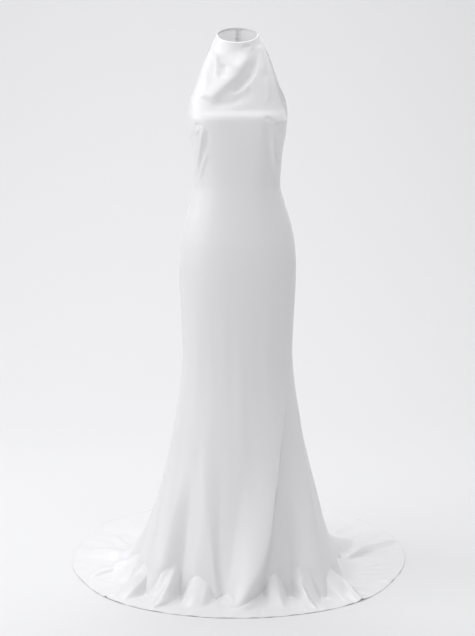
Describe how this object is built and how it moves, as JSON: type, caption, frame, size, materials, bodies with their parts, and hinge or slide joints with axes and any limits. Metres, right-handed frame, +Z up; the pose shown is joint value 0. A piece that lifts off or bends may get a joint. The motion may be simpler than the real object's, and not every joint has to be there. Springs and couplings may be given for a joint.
{
  "type": "wedding dress",
  "caption": "Floor-length satin wedding dress, hollow as worn: high draped neck, cutaway armholes, darted bust, fitted hips and a fluted skirt that pools into a round train.",
  "frame": {"origin": "the middle of the neck edge, at the height of its sides, where the wearer holds the dress up", "axes": "+Z up; -Y is the wearer's front; +X is to the right of someone who faces the front of the dress"},
  "size_m": [0.9699, 0.9945, 1.527],
  "materials": {
    "satin": "ivory-white satin with a soft sheen",
    "button_satin": "satin-covered button",
    "loop_satin": "turned satin cord"
  },
  "bodies": {
    "root": {"front_panel": "satin", "back_panel_left": "satin", "back_panel_right": "satin", "button_1": "button_satin", "button_2": "button_satin", "button_3": "button_satin", "button_loop_1": "loop_satin", "button_loop_2": "loop_satin", "button_loop_3": "loop_satin"}
  },
  "joints": []
}
